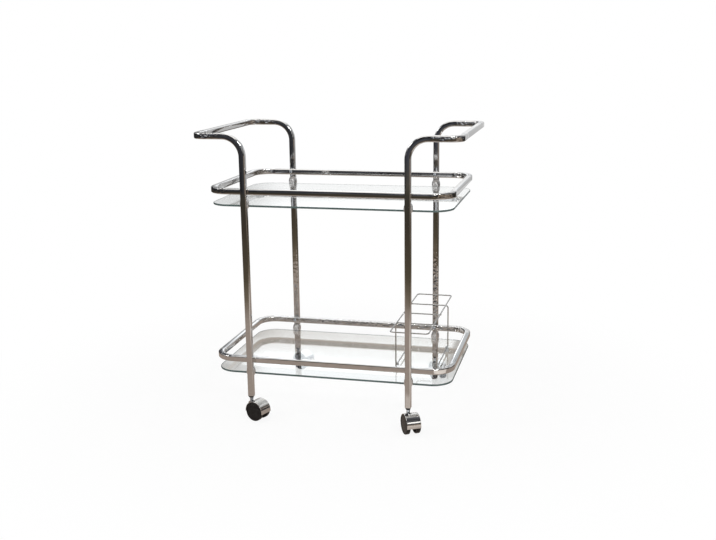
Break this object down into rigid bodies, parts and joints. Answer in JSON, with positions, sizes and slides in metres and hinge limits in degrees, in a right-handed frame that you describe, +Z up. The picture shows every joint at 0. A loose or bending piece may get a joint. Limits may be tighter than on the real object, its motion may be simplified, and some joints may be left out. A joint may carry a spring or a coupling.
{
  "type": "bar cart",
  "caption": "Rolling bar cart of bent chrome tube with handles at both ends, clear glass shelves inside rails, a wire bottle rack and hooded swivel casters.",
  "frame": {"origin": "on the floor, in the middle of the four legs", "axes": "+X along the shelves towards the end with the bottle rack, +Y from the front to the rear, +Z up"},
  "size_m": [0.704, 0.4917, 0.765],
  "materials": {
    "chrome": "polished",
    "clear_glass": "polished",
    "zinc_steel": "zinc plated",
    "black_plastic": "satin gloss",
    "soft_rubber": "matt"
  },
  "bodies": {
    "frame": {"left_end_frame": "chrome", "right_end_frame": "chrome", "leg_weld_nuts": "zinc_steel", "upper_rail": "chrome", "upper_rail_bolts": "zinc_steel", "upper_glass": "clear_glass", "upper_glass_clips": "chrome", "upper_clip_screws": "zinc_steel", "upper_clip_liners": "soft_rubber", "lower_rail": "chrome", "lower_rail_bolts": "zinc_steel", "lower_glass": "clear_glass", "lower_glass_clips": "chrome", "lower_clip_screws": "zinc_steel", "lower_clip_liners": "soft_rubber", "front_left_leg_plug": "black_plastic", "front_left_caster_stem": "zinc_steel", "front_right_leg_plug": "black_plastic", "front_right_caster_stem": "zinc_steel", "rear_left_leg_plug": "black_plastic", "rear_left_caster_stem": "zinc_steel", "rear_right_leg_plug": "black_plastic", "rear_right_caster_stem": "zinc_steel"},
    "front_left_caster": {"front_left_caster_hood": "chrome", "front_left_caster_axle": "zinc_steel"},
    "front_left_wheel_a_roll": {"front_left_wheel_a": "black_plastic"},
    "front_left_wheel_b_roll": {"front_left_wheel_b": "black_plastic"},
    "front_right_caster": {"front_right_caster_hood": "chrome", "front_right_caster_axle": "zinc_steel"},
    "front_right_wheel_a_roll": {"front_right_wheel_a": "black_plastic"},
    "front_right_wheel_b_roll": {"front_right_wheel_b": "black_plastic"},
    "rear_left_caster": {"rear_left_caster_hood": "chrome", "rear_left_caster_axle": "zinc_steel"},
    "rear_left_wheel_a_roll": {"rear_left_wheel_a": "black_plastic"},
    "rear_left_wheel_b_roll": {"rear_left_wheel_b": "black_plastic"},
    "rear_right_caster": {"rear_right_caster_hood": "chrome", "rear_right_caster_axle": "zinc_steel"},
    "rear_right_wheel_a_roll": {"rear_right_wheel_a": "black_plastic"},
    "rear_right_wheel_b_roll": {"rear_right_wheel_b": "black_plastic"},
    "bottle_rack": {"rack_top_frame": "chrome", "rack_cradle": "chrome", "rack_centre_wire": "chrome", "rack_feet": "soft_rubber"}
  },
  "joints": [
    {"name": "front_left_swivel", "type": "hinge", "parent": "frame", "child": "front_left_caster", "pos_m": [-0.2145, -0.21, 0.045], "axis": [0, 0, 1], "continuous": true},
    {"name": "front_left_wheel_a_spin", "type": "hinge", "parent": "front_left_caster", "child": "front_left_wheel_a_roll", "pos_m": [-0.19477, -0.21718, 0.026], "axis": [0.342, 0.9397, 0], "continuous": true},
    {"name": "front_left_wheel_b_spin", "type": "hinge", "parent": "front_left_caster", "child": "front_left_wheel_b_roll", "pos_m": [-0.19477, -0.21718, 0.026], "axis": [0.342, 0.9397, 0], "continuous": true},
    {"name": "front_right_swivel", "type": "hinge", "parent": "frame", "child": "front_right_caster", "pos_m": [0.2145, -0.21, 0.045], "axis": [0, 0, 1], "continuous": true},
    {"name": "front_right_wheel_a_spin", "type": "hinge", "parent": "front_right_caster", "child": "front_right_wheel_a_roll", "pos_m": [0.225, -0.22819, 0.026], "axis": [0.866, 0.5, 0], "continuous": true},
    {"name": "front_right_wheel_b_spin", "type": "hinge", "parent": "front_right_caster", "child": "front_right_wheel_b_roll", "pos_m": [0.225, -0.22819, 0.026], "axis": [0.866, 0.5, 0], "continuous": true},
    {"name": "rear_left_swivel", "type": "hinge", "parent": "frame", "child": "rear_left_caster", "pos_m": [-0.2145, 0.21, 0.045], "axis": [0, 0, 1], "continuous": true},
    {"name": "rear_left_wheel_a_spin", "type": "hinge", "parent": "rear_left_caster", "child": "rear_left_wheel_a_roll", "pos_m": [-0.19477, 0.20282, 0.026], "axis": [0.342, 0.9397, 0], "continuous": true},
    {"name": "rear_left_wheel_b_spin", "type": "hinge", "parent": "rear_left_caster", "child": "rear_left_wheel_b_roll", "pos_m": [-0.19477, 0.20282, 0.026], "axis": [0.342, 0.9397, 0], "continuous": true},
    {"name": "rear_right_swivel", "type": "hinge", "parent": "frame", "child": "rear_right_caster", "pos_m": [0.2145, 0.21, 0.045], "axis": [0, 0, 1], "continuous": true},
    {"name": "rear_right_wheel_a_spin", "type": "hinge", "parent": "rear_right_caster", "child": "rear_right_wheel_a_roll", "pos_m": [0.225, 0.19181, 0.026], "axis": [0.866, 0.5, 0], "continuous": true},
    {"name": "rear_right_wheel_b_spin", "type": "hinge", "parent": "rear_right_caster", "child": "rear_right_wheel_b_roll", "pos_m": [0.225, 0.19181, 0.026], "axis": [0.866, 0.5, 0], "continuous": true},
    {"name": "rack_lift", "type": "slide", "parent": "frame", "child": "bottle_rack", "axis": [0, 0, 1], "range_m": [0, 0.15]}
  ]
}
